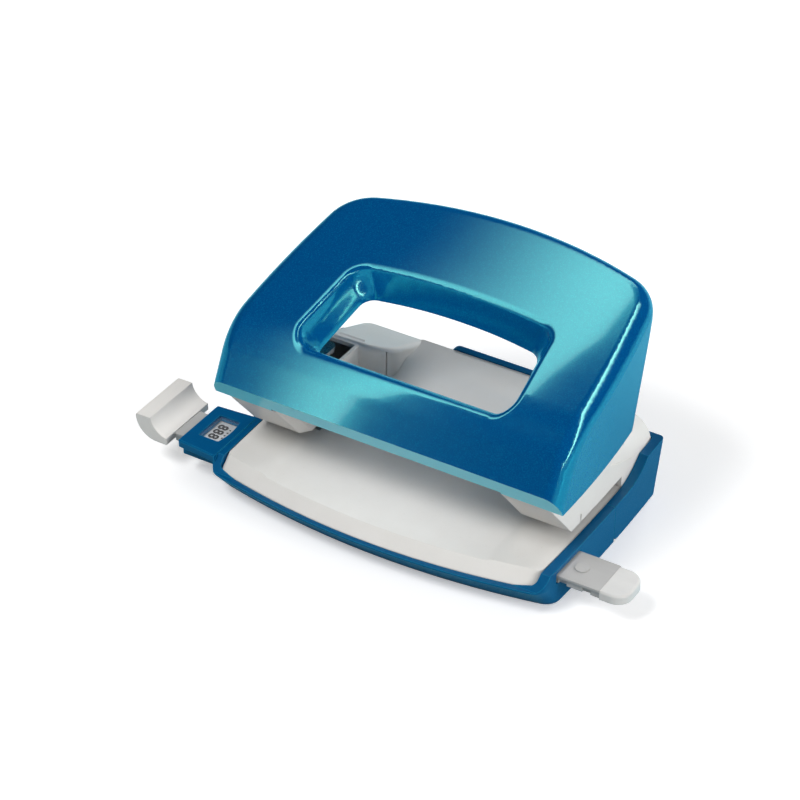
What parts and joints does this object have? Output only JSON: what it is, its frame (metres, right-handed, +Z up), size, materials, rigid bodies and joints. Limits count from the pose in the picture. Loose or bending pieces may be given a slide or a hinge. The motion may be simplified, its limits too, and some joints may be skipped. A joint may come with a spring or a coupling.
{
  "type": "mini hole punch",
  "caption": "Small desk punch for filing holes: pressed steel lever hood with finger opening over a moulded base with jaws, sliding paper guide and hinged chip flap",
  "frame": {"origin": "on the desk surface, midway between the two punch axes, in the plane that holds both axes", "axes": "+X along the paper edge towards the guide's free tongue, +Y away from the paper, +Z up"},
  "size_m": [0.1524, 0.0828, 0.0665],
  "materials": {
    "blue_lacquer": "glossy",
    "blue_plastic": "satin",
    "white_plastic": "satin",
    "grey_plastic": "satin",
    "light_grey_plastic": "satin",
    "clear_plastic": "glossy",
    "scale_film": "satin",
    "zinc_steel": "satin",
    "hard_steel": "polished",
    "spring_steel": "satin"
  },
  "bodies": {
    "base": {"tray": "blue_plastic", "deck": "white_plastic", "jaw_cover": "white_plastic", "punch_frame_left": "zinc_steel", "punch_frame_right": "zinc_steel", "guide_bush_left": "zinc_steel", "guide_bush_right": "zinc_steel", "die_left": "hard_steel", "die_right": "hard_steel", "frame_rivets": "zinc_steel", "case_screws": "zinc_steel", "window_lens": "clear_plastic", "hinge_pin_left": "hard_steel", "hinge_pin_right": "hard_steel", "pivot_axle_left": "hard_steel", "pivot_axle_right": "hard_steel", "return_spring_left": "spring_steel", "return_spring_right": "spring_steel"},
    "lever": {"handle": "blue_lacquer", "lever_bracket_left": "zinc_steel", "lever_bracket_right": "zinc_steel"},
    "punch_left": {"punch_pin_left": "hard_steel", "retaining_ring_left": "spring_steel", "washer_left": "zinc_steel"},
    "punch_right": {"punch_pin_right": "hard_steel", "retaining_ring_right": "spring_steel", "washer_right": "zinc_steel"},
    "guide": {"guide_bar": "grey_plastic", "bar_cap": "light_grey_plastic", "scale_strip": "scale_film", "end_stop": "white_plastic"},
    "flap": {"chip_flap": "blue_plastic"}
  },
  "joints": [
    {"name": "handle_press", "type": "hinge", "parent": "base", "child": "lever", "pos_m": [0, -0.0205, 0.0275], "axis": [-1, 0, 0], "range_deg": [0, 15], "stiffness_Nm_per_rad": 0.87, "springref_deg": -5.73},
    {"name": "punch_left_stroke", "type": "slide", "parent": "base", "child": "punch_left", "axis": [0, 0, 1], "range_m": [-0.00555, 0], "deforming": ["return_spring_left"]},
    {"name": "punch_right_stroke", "type": "slide", "parent": "base", "child": "punch_right", "axis": [0, 0, 1], "range_m": [-0.00555, 0], "deforming": ["return_spring_right"]},
    {"name": "guide_slide", "type": "slide", "parent": "base", "child": "guide", "axis": [-1, 0, 0], "range_m": [-0.0035, 0.08]},
    {"name": "flap_hinge", "type": "hinge", "parent": "base", "child": "flap", "pos_m": [0, 0.0048, 0.0016], "axis": [-1, 0, 0], "range_deg": [0, 90]}
  ],
  "couplings": [
    {"joint": "punch_left_stroke", "follows": "handle_press", "m_per_rad": -0.02116},
    {"joint": "punch_right_stroke", "follows": "handle_press", "m_per_rad": -0.02116}
  ]
}
